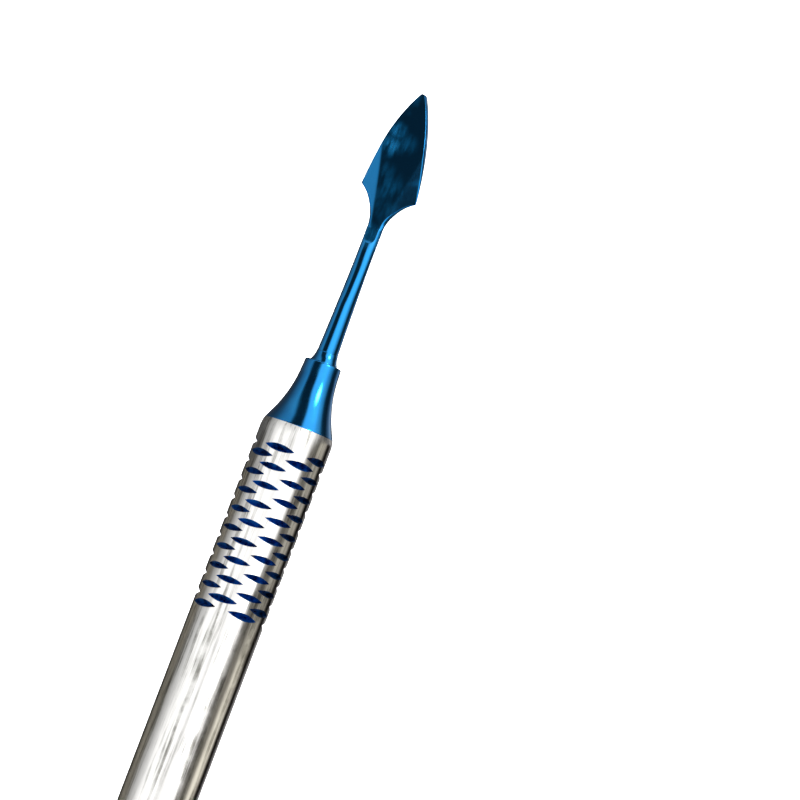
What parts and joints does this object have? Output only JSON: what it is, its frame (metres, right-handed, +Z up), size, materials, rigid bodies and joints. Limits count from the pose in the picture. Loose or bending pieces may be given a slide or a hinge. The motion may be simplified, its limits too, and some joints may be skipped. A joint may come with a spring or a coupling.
{
  "type": "sculpting spatula",
  "caption": "Slim hand tool with a round pocketed steel handle, a coated leaf-shaped blade at one end and a small angled flat paddle at the other.",
  "frame": {"origin": "on the surface that the handle lies on, under the middle of the handle", "axes": "+X along the tool towards the point of the leaf blade, +Z up, square to the leaf's face"},
  "size_m": [0.1758, 0.008, 0.008],
  "materials": {
    "handle_steel": "satin, ground",
    "blue_coating": "glossy hard blue coating on steel",
    "blue_blade": "glossy hard blue coating on polished steel"
  },
  "bodies": {
    "root": {"handle_tube": "handle_steel", "front_cone": "blue_coating", "rear_cone": "blue_coating", "leaf_blade": "blue_blade", "paddle_blade": "blue_blade", "front_braze_fillet": "blue_coating", "rear_braze_fillet": "blue_coating"}
  },
  "joints": []
}
